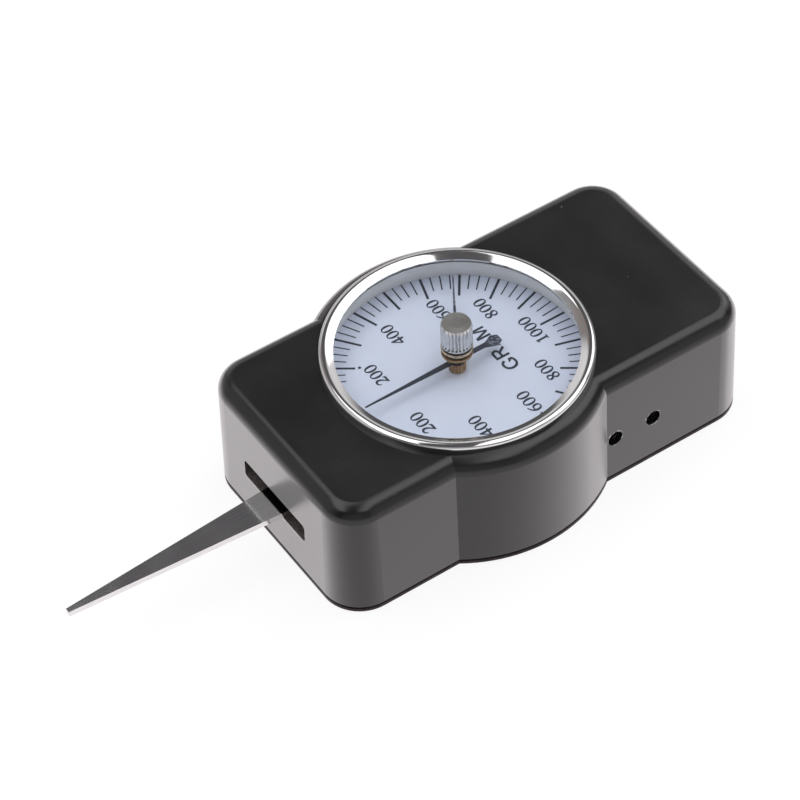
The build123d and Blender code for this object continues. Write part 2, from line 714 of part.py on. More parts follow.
def adjuster_bracket():
    """Angle bracket that carries the two zero-adjusting screws."""
    x = bracket_x()
    y_low, y_high = anchor_y - bracket_length / 2, anchor_y + bracket_length / 2
    wall = block(x - bracket_thickness / 2, x + bracket_thickness / 2, y_low, y_high,
                 lower_plate_top, spring_top + anchor_cap)
    foot = block(x - bracket_thickness / 2 - bracket_foot, x, y_low, y_high,
                 lower_plate_top, lower_plate_top + bracket_foot_thickness)
    bracket = wall + foot
    for y in adjuster_places:
        bracket -= rod_x(adjuster_radius + SEAT, x - bracket_thickness, x + bracket_thickness,
                         y, adjuster_z)
    for x_foot, y in foot_screw_places():
        bracket -= disc(foot_shank + SEAT, lower_plate_top,
                        lower_plate_top + bracket_foot_thickness, x_foot, y)
    return bracket


def adjusting_screws():
    """Slotted set screws that bear on the anchor each side of its post."""
    end = half_width - adjuster_end_gap
    solids = []
    for y in adjuster_places:
        stem = rod_x(adjuster_radius, anchor_width / 2, end, y, adjuster_z)
        slot = block(end - adjuster_slot_depth, end + 1, y - adjuster_radius - 1,
                     y + adjuster_radius + 1, adjuster_z - adjuster_slot_width / 2,
                     adjuster_z + adjuster_slot_width / 2)
        solids.append(stem - slot)
    return solids


def spiral_edges(offset):
    """Spiral of half circles about the dial axis, starting and ending towards +Y."""
    edges = []
    start = collet_radius + offset
    for half_turn in range(2 * hairspring_turns):
        side = 1 if half_turn % 2 == 0 else -1
        end = start + hairspring_pitch / 2
        middle_y, radius = side * (start - end) / 2, (start + end) / 2
        edges.append(ThreePointArc((0, side * start), (-side * radius, middle_y), (0, -side * end)))
        start = end
    return edges


def hairspring():
    inner = spiral_edges(SEAT)
    outer = spiral_edges(SEAT + hairspring_thickness)
    band = make_face(Wire.combine([*inner, *outer, Line(inner[0] @ 0, outer[0] @ 0),
                                   Line(inner[-1] @ 1, outer[-1] @ 1)])[0])
    return extrude(Pos(0, 0, hairspring_z) * band, hairspring_height)


# ---------------------------------------------------------------- pointer
def pointer_arbor():
    arbor = disc(arbor_pivot_radius, bridge_z, bridge_top + bush_flange + END_PLAY)
    top = pointer_top + hub_neck_height
    return arbor + disc(arbor_radius, bridge_top + bush_flange + END_PLAY, top)


def pinion():
    root_radius = pinion_pitch_radius - tooth_dedendum * gear_module
    plan = Circle(root_radius)
    step = 2 * pi / pinion_teeth
    for index in range(pinion_teeth):
        plan += tooth(pinion_teeth, -pi / 2 + (index + 0.5) * step)
    plan -= Circle(arbor_radius + SEAT)
    return extrude(Pos(0, 0, pinion_z) * plan, pinion_width)


def pointer_hub():
    """Fluted brass hub that carries the pointer on its neck."""
    hub = fluted(hub_radius, hub_flute_depth, hub_flutes, hub_crest, dial_face_z + hub_foot_gap, pointer_z)
    hub += disc(hub_neck_radius, pointer_z, pointer_top + hub_neck_height)
    return hub - disc(arbor_radius + SEAT, dial_face_z, pointer_top + 1)


def pointer():
    """Long tapered needle with a spade-shaped counterweight."""
    root, tip = pointer_root_width / 2, pointer_tip_width / 2
    tail = tail_width / 2
    neck = root * 0.88
    outline = Polyline(
        (-tip, -pointer_reach), (tip, -pointer_reach), (root, -hub_radius),
        (root, 0), (neck, hub_radius), (neck, spade_start), (tail, spade_shoulder),
        (0.55 * tail, pointer_tail), (-0.55 * tail, pointer_tail), (-tail, spade_shoulder),
        (-neck, spade_start), (-neck, hub_radius), (-root, 0), (-root, -hub_radius),
        close=True)
    plan = make_face(outline) + Circle(hub_radius) - Circle(hub_neck_radius + SEAT)
    return extrude(Pos(0, 0, pointer_z) * plan, pointer_thickness)


# ---------------------------------------------------------------- peak pointer and knob
def peak_pointer():
    """Needle under the lens, with a tab bent down towards the pointer."""
    root, tip = peak_root_width / 2, pointer_tip_width / 2
    outline = make_face(Polyline((-tip, -peak_reach), (tip, -peak_reach), (root, 0),
                                 (-root, 0), close=True))
    plan = outline + Circle(peak_hub_radius) - Circle(peak_neck_radius + SEAT)
    needle = extrude(Pos(0, 0, peak_z) * plan, pointer_thickness)
    needle += block(-peak_tab_width / 2, peak_tab_width / 2, -peak_tab_reach,
                    -peak_tab_reach + pointer_thickness, pointer_top + peak_tab_clearance, peak_z)
    return Rot(0, 0, -peak_rest_angle) * needle


def peak_hub():
    hub = disc(peak_hub_radius, peak_hub_z, peak_z)
    hub += disc(peak_neck_radius, peak_z, lens_z - bush_nut_height - 2 * END_PLAY)
    return hub - disc(spindle_radius + SEAT, peak_hub_z, lens_z)


def knob_bush():
    """Brass bush through the lens, with a flange that the knob turns on."""
    foot = lens_z - bush_nut_height
    edge = lens_top + bush_flange_height
    return turned([
        (spindle_radius + RUN, foot), (bush_sleeve_radius, foot),
        (bush_sleeve_radius, lens_top), (bush_flange_radius - bush_chamfer, lens_top),
        (bush_flange_radius, lens_top + bush_chamfer), (bush_flange_radius, edge - bush_chamfer),
        (bush_flange_radius - bush_chamfer, edge), (spindle_radius + RUN, edge)])


def knob():
    """Fluted knob with a chamfered crown, a plain rim and a blind bore on the spindle."""
    top = knob_z + knob_height
    body = fluted(knob_radius, knob_flute_depth, knob_flutes, knob_crest, knob_z, top)
    body += disc(knob_radius, knob_z, knob_z + knob_rim_height)
    crown = turned([(0, knob_z), (knob_radius, knob_z), (knob_radius, top - knob_chamfer_height),
                    (knob_radius - knob_chamfer, top), (0, top)])
    return (body & crown) - disc(spindle_radius + SEAT, knob_z, knob_z + knob_bore_depth)


def knob_spindle():
    return disc(spindle_radius, peak_hub_z, knob_z + knob_bore_depth)


# ---------------------------------------------------------------- writing the nodes
os.makedirs("parts", exist_ok=True)

save("housing", housing())
save("back_cover", back_cover())
save("cover_screws", *cover_screws())
save("bezel_ring", bezel_ring())
save("lens", ring(lens_radius, bush_sleeve_radius + SEAT, lens_z, lens_top))
save("reflector_ring", reflector_ring())
save("dial_plate", ring(dial_radius, dial_hole_radius, dial_z, dial_face_z))

save("lower_plate", lower_plate())
save("upper_plate", upper_plate())
save("pillars", *pillars())
save("pillar_screws", *[
    Pos(x, y, upper_plate_top) * screw(pillar_shank, pillar_screw_length, pillar_head,
                                       pillar_head_height)
    for x, y in pillar_places])
save("movement_screws", *[
    Pos(x, y, upper_plate_z) * Rot(180, 0, 0) * screw(movement_shank, movement_length,
                                                      movement_head, movement_head_height)
    for x, y in movement_screw_places])
save("arbor_bridge", arbor_bridge())
save("bridge_posts", *bridge_posts())
save("bridge_screws", *[
    Pos(x, y, bridge_z) * Rot(180, 0, 0) * screw(post_shank, post_screw_length, post_head,
                                                 post_head_height)
    for x, y in bridge_post_places])
save("arm_bushes",
     flanged_bush(arm_bush_radius, arm_bush_flange_radius, arm_journal_radius + RUN,
                  lower_plate_z, lower_plate_top, True, pivot_y),
     flanged_bush(arm_bush_radius, arm_bush_flange_radius, arm_journal_radius + RUN,
                  upper_plate_z, upper_plate_top, False, pivot_y))
save("arbor_bushes",
     flanged_bush(arbor_bush_radius, arbor_bush_flange_radius, arbor_pivot_radius + FINE_RUN,
                  bridge_z, bridge_top, True),
     flanged_bush(arbor_bush_radius, arbor_bush_flange_radius, arbor_radius + FINE_RUN,
                  upper_plate_z, upper_plate_top, False))
save("stop_pins", *[
    disc(stop_pin_radius, sector_z - stop_pin_drop, upper_plate_top, x, y) for x, y in stop_places])

save("measuring_springs", *measuring_springs())
save("spring_anchor", spring_anchor())
save("anchor_shim", anchor_shim())
save("anchor_clamp_screws", *[
    clamp_screw(-anchor_width / 2, anchor_clamp_depth, y) for y in anchor_clamp_places()])
save("anchor_screw", Pos(0, anchor_y, lower_plate_z) * Rot(180, 0, 0) * screw(
    anchor_shank, anchor_screw_length, anchor_head, anchor_head_height))
save("adjuster_bracket", adjuster_bracket())
save("bracket_screws", *[
    Pos(x, y, lower_plate_top + bracket_foot_thickness) * screw(
        foot_shank, foot_screw_length, foot_head, foot_head_height)
    for x, y in foot_screw_places()])
save("adjusting_screws", *adjusting_screws())
save("hairspring", hairspring())
save("hairspring_stud", disc(stud_radius, hairspring_z, upper_plate_top, 0, stud_y))

save("feeler_arm", feeler_arm())
save("arm_carrier", arm_carrier())
save("arm_shaft", arm_shaft())
save("sector_gear", sector_gear())
save("arm_screws", *[
    Pos(0, y, blade_top) * screw(arm_shank, arm_screw_length, arm_head, arm_head_height)
    for y in arm_screw_places()])
save("carrier_shim", carrier_shim())
save("carrier_clamp_screw", clamp_screw(-carrier_width / 2, carrier_width, carrier_clamp_y()))

save("pointer_arbor", pointer_arbor())
save("pinion", pinion())
save("hairspring_collet", ring(collet_radius, arbor_radius + SEAT, hairspring_z, collet_top))
save("pointer_hub", pointer_hub())
save("pointer", pointer())

save("knob_bush", knob_bush())
save("bush_nut", ring(bush_nut_radius, bush_sleeve_radius + SEAT, lens_z - bush_nut_height, lens_z))
save("friction_washer", ring(friction_washer_radius, spindle_radius + RUN,
                             lens_top + bush_flange_height, knob_z))
save("peak_pointer", peak_pointer())
save("peak_hub", peak_hub())
save("knob_spindle", knob_spindle())
save("knob", knob())
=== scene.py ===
import json
from math import atan2, cos, pi, radians, sin, tan

import bmesh
import bpy
from mathutils import Matrix, Vector


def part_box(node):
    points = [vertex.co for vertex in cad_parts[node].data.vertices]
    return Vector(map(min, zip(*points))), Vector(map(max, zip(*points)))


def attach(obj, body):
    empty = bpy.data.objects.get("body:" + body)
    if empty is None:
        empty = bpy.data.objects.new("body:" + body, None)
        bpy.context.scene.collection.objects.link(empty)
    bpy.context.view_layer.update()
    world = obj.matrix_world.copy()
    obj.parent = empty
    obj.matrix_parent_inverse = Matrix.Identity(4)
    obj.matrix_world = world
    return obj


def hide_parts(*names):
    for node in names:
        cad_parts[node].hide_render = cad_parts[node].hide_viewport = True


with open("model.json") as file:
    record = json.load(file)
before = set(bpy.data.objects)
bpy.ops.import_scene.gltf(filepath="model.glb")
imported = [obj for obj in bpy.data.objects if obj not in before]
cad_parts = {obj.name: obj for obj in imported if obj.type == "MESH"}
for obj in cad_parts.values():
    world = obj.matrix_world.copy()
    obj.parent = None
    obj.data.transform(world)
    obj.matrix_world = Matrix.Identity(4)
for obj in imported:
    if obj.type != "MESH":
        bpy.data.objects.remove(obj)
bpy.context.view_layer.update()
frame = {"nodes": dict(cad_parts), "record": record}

MM = 0.001
nodes = frame["nodes"]

# ---------------------------------------------------------------- places read from the frame
housing_low, housing_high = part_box("housing")
ring_low, ring_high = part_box("bezel_ring")
screws_low, screws_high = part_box("adjusting_screws")
feeler_low, feeler_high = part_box("feeler_arm")
dial_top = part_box("dial_plate")[1].z
lens_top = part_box("lens")[1].z
knob_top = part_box("knob")[1].z
holes = (screws_low + screws_high) / 2           # between the two side holes, on their axes
slot_z = (feeler_low.z + feeler_high.z) / 2

# ---------------------------------------------------------------- sizes of the pieces, in mm
WALL = 2.6                   # the case's front wall, which the slot is cut through
SKIN = 0.1                   # paint of the wall's faces, which laps over the slot's edges
SLOT_HALF, SLOT_RISE = 10.8, 2.3       # half the slot's width and height, and a little more
HOLE_SPACING, HOLE_RADIUS = 9.3, 1.7   # the two side holes
CHIPS_OUT = 1.0              # ends of the adjusting screws to the innermost chips in the holes
TOP_RADIUS = 2.9             # the knob's faced top
DISH_DEPTH, CUT_DEPTH = 0.1, 0.004     # its dish, and the rings of the facing cut
CUT_PITCH = 1.382            # the rings are drawn coarser than a real cut, so that they show
SPADE_START, SPADE_FULL = 6.9, 7.6     # where the spade's stipple begins and is full, along Y
RING_WIDTH = 2.94            # the bright ring: its crown, the lip over the case and the skirt
RING_LIP, RING_PLAY, SKIRT_WALL = 0.24, 0.05, 0.85
CROWN_AT = 0.95              # top of the crown, from the ring's edge
# Slope of the crown in degrees at each distance from the ring's edge, in mm: the ring rises from
# the lens, rolls over the crown and turns down to a short upright wall.
RING_SLOPES = [(0, -86), (0.1, -60), (0.3, -32), (0.6, -14), (CROWN_AT, 0), (1.4, 14), (1.8, 22),
               (RING_WIDTH, 24)]

# ---------------------------------------------------------------- scale printing, in mm
INK_HEIGHT = 0.03            # screen-printed ink stands a little proud of the dial
INK_SINK = 0.01              # and reaches a little into it
TICK_COUNT = 80              # one tick for each 25 g, round the whole dial
TICKS_PER_HUNDRED = 4
BLANK_TICKS = 6              # no marks this side of the sixth tick from the rest position
TICK_OUTER_RADIUS = 25.98    # the ticks' outer ends
LONG_TICK, SHORT_TICK = 5.9, 4.0
LONG_TICK_WIDTH, SHORT_TICK_WIDTH = 0.52, 0.28
INK_SPREAD = 0.075           # how far the ink ran beyond the drawn outlines
DIGIT_HEIGHT, DIGIT_PITCH = 2.6, 2.0
UNIT_HEIGHT, UNIT_PITCH = 3.0, 3.4
# Middle of each number; the scale rises from -Y to +Y on both sides.
NUMBER_PLACES = [
    ("200", -7.9, -13.95), ("400", -15.05, -5.2), ("600", -15.45, 6.1), ("800", -10.15, 13.9),
    ("1000", 0.3, 18.1),
    ("800", 10.65, 13.85), ("600", 15.45, 6.05), ("400", 15.2, -5.25), ("200", 7.85, -13.8)]
UNIT_PLACE = (0.0, 9.05)
DOT_PLACE = (-11.47, -15.45)  # a full stop of ink beside one number
DOT_RADIUS = 0.26

# Outlines of the printed characters in thousandths of the digit's em: M starts an outline,
# L runs straight and C is a cubic curve. Figures with serifs and plain capitals without.
GLYPHS = {
    "0": "M 250 -14 C 385 -14 476 150 476 331 C 476 515 385 676 250 676 C 115 676 24 515 24 331"
         " C 24 150 115 -14 250 -14 M 250 14 C 165 14 122 150 122 331 C 122 515 165 648 250 648"
         " C 335 648 378 515 378 331 C 378 150 335 14 250 14",
    "1": "M 118 0 L 394 0 L 394 18 C 330 22 302 35 302 90 L 302 676 L 286 676"
         " C 240 650 180 615 111 590 L 111 572 L 140 580 C 195 592 210 580 210 540 L 210 90"
         " C 210 35 180 22 118 18 L 118 0",
    "2": "M 30 0 L 430 0 L 474 142 L 458 142 C 440 95 425 78 380 78 L 138 78"
         " C 270 210 424 340 424 498 C 424 600 345 676 240 676 C 140 676 62 610 42 490 L 62 486"
         " C 82 560 130 606 200 606 C 285 606 328 545 328 472 C 328 330 190 180 30 16 L 30 0",
    "4": "M 290 0 L 382 0 L 382 165 L 474 165 L 474 235 L 382 235 L 382 676 L 326 676"
         " L 14 232 L 14 165 L 290 165 L 290 0 M 290 235 L 290 568 L 58 235 L 290 235",
    "6": "M 448 684 C 250 664 30 500 30 263 C 30 90 120 -14 256 -14 C 385 -14 470 80 470 218"
         " C 470 345 392 428 278 428 C 220 428 178 408 150 382 C 190 540 310 640 450 664"
         " L 448 684 M 262 16 C 175 16 128 110 128 230 C 128 270 132 310 140 345"
         " C 165 375 205 392 246 392 C 325 392 372 310 372 200 C 372 85 330 16 262 16",
    "8": "M 248 -14 C 360 -14 448 60 448 165 C 448 250 390 308 296 362 C 385 412 426 456 426 530"
         " C 426 615 350 676 250 676 C 140 676 60 605 60 510 C 60 440 100 390 190 328"
         " C 95 280 54 228 54 152 C 54 55 135 -14 248 -14 M 246 648 C 310 648 350 602 350 526"
         " C 350 460 325 420 268 380 C 180 432 140 478 140 546 C 140 606 185 648 246 648"
         " M 252 14 C 325 14 366 60 366 128 C 366 196 322 244 216 312 C 152 268 130 222 130 154"
         " C 130 66 182 14 252 14",
    "G": "M 480 345 L 480 262 L 718 262 L 718 80 C 640 18 550 -14 440 -14 C 210 -14 60 135 60 355"
         " C 60 575 210 728 440 728 C 590 728 690 655 722 520 L 624 494 C 600 590 540 640 440 640"
         " C 275 640 166 530 166 357 C 166 180 275 72 440 72 C 515 72 580 95 620 130 L 620 345"
         " L 480 345",
    "R": "M 90 0 L 186 0 L 186 318 L 300 318 C 370 318 410 290 450 225 L 590 0 L 706 0 L 556 240"
         " C 530 282 505 306 478 322 C 610 342 676 412 676 515 C 676 640 590 716 440 716"
         " L 90 716 L 90 0 M 186 398 L 186 636 L 432 636 C 525 636 574 596 574 516"
         " C 574 440 525 398 420 398 L 186 398",
    "A": "M 10 0 L 116 0 L 198 216 L 506 216 L 590 0 L 704 0 L 408 716 L 300 716 L 10 0"
         " M 228 294 L 352 622 L 474 294 L 228 294",
    "M": "M 80 0 L 172 0 L 172 610 L 378 0 L 462 0 L 668 600 L 668 0 L 760 0 L 760 716 L 630 716"
         " L 424 110 L 216 716 L 80 716 L 80 0",
}
GLYPH_WIDTHS = {"G": 780, "R": 720, "A": 714, "M": 840}
FIGURE_WIDTH = 500
FIGURE_CAP, LETTER_CAP = 690, 716
CURVE_STEPS = 10


# ---------------------------------------------------------------- helpers
def linear(code):
    """sRGB hex colour as linear RGBA."""
    channels = [int(code[i:i + 2], 16) / 255 for i in (1, 3, 5)]
    return [c / 12.92 if c <= 0.04045 else ((c + 0.055) / 1.055) ** 2.4 for c in channels] + [1]


def node(tree, kind, inputs=(), **settings):
    """Adds a node and gives its outputs. Inputs are listed in the order of the sockets, or
    paired with a socket's name or number, and each is a value or another node's output."""
    made = tree.nodes.new(kind)
    for name, value in settings.items():
        setattr(made, name, value)
    for socket, value in inputs.items() if isinstance(inputs, dict) else enumerate(inputs):
        if isinstance(value, bpy.types.NodeSocket):
            tree.links.new(value, made.inputs[socket])
        else:
            made.inputs[socket].default_value = value
    return made.outputs


def placed(name, data):
    """New object in the scene, at the origin."""
    thing = bpy.data.objects.new(name, data)
    bpy.context.scene.collection.objects.link(thing)
    return thing


def face_outwards(mesh, merge=False):
    """Turns a closed mesh's faces outwards, after its doubled points are merged."""
    shape = bmesh.new()
    shape.from_mesh(mesh)
    if merge:
        bmesh.ops.remove_doubles(shape, verts=shape.verts, dist=0.001 * MM)
    bmesh.ops.recalc_face_normals(shape, faces=shape.faces)
    shape.to_mesh(mesh)
    shape.free()


def pattern(tree, spacing, detail=3.0, roughness=0.5):
    """Noise on Object coordinates whose features are `spacing` mm apart along X, Y and Z."""
    where = node(tree, "ShaderNodeTexCoord")["Object"]
    scaled = node(tree, "ShaderNodeMapping",
                  {"Vector": where, "Scale": [1 / (s * MM) for s in spacing]})[0]
    return node(tree, "ShaderNodeTexNoise", {
        "Vector": scaled, "Scale": 1.0, "Detail": detail, "Roughness": roughness})["Fac"]


def drifting(tree, marks, low, high, first, second):
    """Colour that drifts from the first tone to the second as a pattern goes from low to high."""
    share = node(tree, "ShaderNodeMapRange", [marks, low, high, 0, 1])[0]
    return node(tree, "ShaderNodeMix", {0: share, 6: linear(first), 7: linear(second)},
                data_type="RGBA")[2]


def finish(name, surface, *looks):
    """Material whose node tree `surface` builds, from its colours and sizes."""
    material = bpy.data.materials.new(name)
    material.use_nodes = True
    tree = material.node_tree
    tree.nodes.clear()
    node(tree, "ShaderNodeOutputMaterial", {"Surface": surface(tree, *looks)})
    return material


# ---------------------------------------------------------------- materials
def worked_metal(tree, bright, dull, roughness, spacing, depth, smudge=0.06):
    """Bare or plated metal: colour and gloss drift along its working marks, spaced in mm."""
    marks = pattern(tree, spacing, detail=4.0, roughness=0.6)
    gloss = node(tree, "ShaderNodeMapRange", [
        pattern(tree, (6, 6, 6)), 0.3, 0.7, roughness - smudge / 2, roughness + smudge])[0]
    grain = node(tree, "ShaderNodeBump", {
        "Height": marks, "Distance": depth * MM, "Strength": 1.0})[0]
    return node(tree, "ShaderNodeBsdfPrincipled", {
        "Base Color": drifting(tree, marks, 0.35, 0.65, dull, bright), "Metallic": 1.0,
        "Roughness": gloss, "Normal": grain})[0]


def stoved_enamel(tree):
    """Black enamel stoved on die-cast aluminium: deep black with a soft clear gloss, slight
    orange peel, a few dust specks, bright chips where the drill left the side holes, and a paler
    tone on the slot's cut faces, partly paint thinned by scraping and partly painted bounce light."""
    where = node(tree, "ShaderNodeTexCoord")["Object"]
    x, y, z = node(tree, "ShaderNodeSeparateXYZ", [where])
    cloud = pattern(tree, (14, 14, 14))
    # a cell of 4.5 mm holds a speck of dust here and there
    cells = node(tree, "ShaderNodeTexVoronoi", {"Vector": where, "Scale": 1 / (4.5 * MM)})
    speck_size = node(tree, "ShaderNodeMapRange", [
        pattern(tree, (3, 3, 3)), 0.52, 0.7, 0.0, 0.035])[0]
    speck = node(tree, "ShaderNodeMath", [cells["Distance"], speck_size],
                 operation="LESS_THAN")[0]
    # the slot's cut faces, behind the front wall's skin
    in_slot = 1.0
    for along, middle, half in ((x, 0.0, SLOT_HALF), (z, slot_z, SLOT_RISE),
                                (y, housing_low.y + WALL * MM / 2, WALL / 2 - SKIN)):
        inside = node(tree, "ShaderNodeMath", [along, middle, half * MM],
                      operation="COMPARE")[0]
        in_slot = node(tree, "ShaderNodeMath", [in_slot, inside], operation="MULTIPLY")[0]
    # paler grey-brown of the slot's cut faces: partly bare paint thinned by scraping, partly
    # painted light standing in for light bounced in from the floor
    scraped_paint_and_painted_bounce_light = drifting(tree, pattern(tree, (0.5, 0.5, 0.5)), 0.35, 0.65, "#575150", "#7a7270")
    # distance from the nearer hole's axis, which lies along X, against a ragged radius
    off_y = y
    for operation, number in (("SUBTRACT", holes.y), ("ABSOLUTE", 0.0),
                              ("SUBTRACT", HOLE_SPACING * MM / 2)):
        off_y = node(tree, "ShaderNodeMath", [off_y, number], operation=operation)[0]
    off_z = node(tree, "ShaderNodeMath", [z, holes.z], operation="SUBTRACT")[0]
    off = node(tree, "ShaderNodeCombineXYZ", [0.0, off_y, off_z])[0]
    reach = node(tree, "ShaderNodeVectorMath", [off], operation="LENGTH")["Value"]
    ragged = node(tree, "ShaderNodeMapRange", [
        pattern(tree, (0.5, 0.5, 0.5), detail=4.0), 0.45, 0.62,
        (HOLE_RADIUS - 0.3) * MM, (HOLE_RADIUS + 0.35) * MM])[0]
    near_hole = node(tree, "ShaderNodeMath", [reach, ragged], operation="LESS_THAN")[0]
    outside = node(tree, "ShaderNodeMath", [x, screws_high.x + CHIPS_OUT * MM],
                   operation="GREATER_THAN")[0]
    chip = node(tree, "ShaderNodeMath", [near_hole, outside], operation="MULTIPLY")[0]
    colour = drifting(tree, cloud, 0.35, 0.65, "#101012", "#151517")
    for share, tone in ((speck, linear("#8a8a8c")), (in_slot, scraped_paint_and_painted_bounce_light),
                        (chip, linear("#b0aeae"))):
        colour = node(tree, "ShaderNodeMix", {0: share, 6: colour, 7: tone},
                      data_type="RGBA")[2]
    # the baked skin glazes over towards grazing sight
    facing = node(tree, "ShaderNodeLayerWeight", {"Blend": 0.5})["Facing"]
    rise = node(tree, "ShaderNodeMapRange", [facing, 0.26, 0.64, 0, 1])[0]
    glaze = node(tree, "ShaderNodeMath", [rise, 2.0], operation="POWER")[0]
    gloss = node(tree, "ShaderNodeMapRange", [cloud, 0.3, 0.7, 0.23, 0.28])[0]
    peel = node(tree, "ShaderNodeBump", {
        "Height": pattern(tree, (0.9, 0.9, 0.9), detail=2.0), "Distance": 0.006 * MM,
        "Strength": 1.0})[0]
    return node(tree, "ShaderNodeBsdfPrincipled", {
        "Base Color": colour, "Metallic": chip, "Roughness": gloss, "IOR": 1.55,
        "Coat Weight": glaze, "Coat Roughness": 0.26, "Coat IOR": 3.0, "Normal": peel})[0]


def screen_ink(tree):
    """Screen-printed ink: flat blue-black with a slightly uneven tone."""
    return node(tree, "ShaderNodeBsdfPrincipled", {
        "Base Color": drifting(tree, pattern(tree, (0.4, 0.4, 0.4)), 0.3, 0.7, "#1a1e30",
                               "#23283e"),
        "Roughness": 0.55})[0]


def dial_paint(tree):
    """Sprayed matt bluish white on sheet metal: very fine grain and a faint cloudiness."""
    grain = node(tree, "ShaderNodeBump", {
        "Height": pattern(tree, (0.25, 0.25, 0.25)), "Distance": 0.004 * MM,
        "Strength": 1.0})[0]
    return node(tree, "ShaderNodeBsdfPrincipled", {
        "Base Color": drifting(tree, pattern(tree, (9, 9, 9)), 0.3, 0.7, "#c8cde0", "#cdd2e4"),
        "Roughness": 0.6, "Normal": grain})[0]


def moulded_plastic(tree, pale, deep, roughness, spacing):
    """Moulded plastic: an even colour with the mould's fine matt grain, spaced in mm."""
    texture = pattern(tree, (spacing, spacing, spacing))
    grain = node(tree, "ShaderNodeBump", {
        "Height": texture, "Distance": 0.01 * MM, "Strength": 1.0})[0]
    return node(tree, "ShaderNodeBsdfPrincipled", {
        "Base Color": drifting(tree, texture, 0.3, 0.7, deep, pale), "Roughness": roughness,
        "Normal": grain})[0]


def pointer_lacquer(tree):
    """Blue-black lacquer on thin brass, stippled on the counterweight's spade."""
    where = node(tree, "ShaderNodeTexCoord")["Object"]
    along = node(tree, "ShaderNodeSeparateXYZ", [where])["Y"]
    on_spade = node(tree, "ShaderNodeMapRange", [
        along, SPADE_START * MM, SPADE_FULL * MM, 0, 1])[0]
    stipple = node(tree, "ShaderNodeMapRange", [
        pattern(tree, (0.34, 0.34, 0.34), detail=1.0), 0.5, 0.58, 0, 1])[0]
    share = node(tree, "ShaderNodeMath", [on_spade, stipple], operation="MULTIPLY")[0]
    colour = node(tree, "ShaderNodeMix", {0: share, 6: linear("#1c2032"), 7: linear("#777c90")},
                  data_type="RGBA")[2]
    relief = node(tree, "ShaderNodeBump", {
        "Height": stipple, "Distance": 0.01 * MM, "Strength": 1.0})[0]
    return node(tree, "ShaderNodeBsdfPrincipled", {
        "Base Color": colour, "Roughness": 0.38, "Normal": relief})[0]


def knob_plate(tree):
    """Nickel plate on turned brass: bright satin flutes under a faced top, slightly dished, which
    keeps the fine rings of the facing cut."""
    where = node(tree, "ShaderNodeTexCoord")["Object"]
    x, y, z = node(tree, "ShaderNodeSeparateXYZ", [where])
    on_top = node(tree, "ShaderNodeMath", [z, knob_top - 0.02 * MM],
                  operation="GREATER_THAN")[0]
    flat = node(tree, "ShaderNodeCombineXYZ", [x, y])[0]
    # at a scale of 1, a wave texture's rings lie 2 pi / 20 apart
    rings = node(tree, "ShaderNodeTexWave", {
        "Vector": flat, "Scale": 2 * pi / (20 * CUT_PITCH * MM), "Distortion": 0.6, "Detail": 2.0},
        wave_type="RINGS", rings_direction="SPHERICAL")["Fac"]
    reach = node(tree, "ShaderNodeVectorMath", [flat], operation="LENGTH")["Value"]
    part = node(tree, "ShaderNodeMapRange", [reach, 0, TOP_RADIUS * MM, 0, 1])[0]
    dish = node(tree, "ShaderNodeMath", [part, 2.0], operation="POWER")[0]
    faced = node(tree, "ShaderNodeMath", [rings, CUT_DEPTH / DISH_DEPTH, dish],
                 operation="MULTIPLY_ADD")[0]
    faced = node(tree, "ShaderNodeMath", [faced, on_top], operation="MULTIPLY")[0]
    relief = node(tree, "ShaderNodeBump", {
        "Height": faced, "Distance": DISH_DEPTH * MM, "Strength": 1.0})[0]
    cloud = pattern(tree, (0.7, 0.7, 0.7))
    satin = node(tree, "ShaderNodeMapRange", [cloud, 0.3, 0.7, 0.11, 0.16])[0]
    gloss = node(tree, "ShaderNodeMix", {0: on_top, 2: satin, 3: 0.22})[0]
    return node(tree, "ShaderNodeBsdfPrincipled", {
        "Base Color": drifting(tree, cloud, 0.3, 0.7, "#c9c8c6", "#d6d5d2"), "Metallic": 1.0,
        "Roughness": gloss, "Normal": relief})[0]


def clear_acrylic(tree):
    """Clear cast acrylic: nearly colourless and glossy. Lamps shine through to the dial."""
    wipe = node(tree, "ShaderNodeMapRange", [
        pattern(tree, (5, 12, 5)), 0.4, 0.7, 0.0, 0.03])[0]
    pane = node(tree, "ShaderNodeBsdfPrincipled", {
        "Base Color": linear("#fbfdfd"), "Roughness": wipe, "IOR": 1.49,
        "Transmission Weight": 1.0})[0]
    through = node(tree, "ShaderNodeBsdfTransparent", {"Color": linear("#fbfdfd")})[0]
    shadow_ray = node(tree, "ShaderNodeLightPath")["Is Shadow Ray"]
    return node(tree, "ShaderNodeMixShader", [shadow_ray, pane, through])[0]


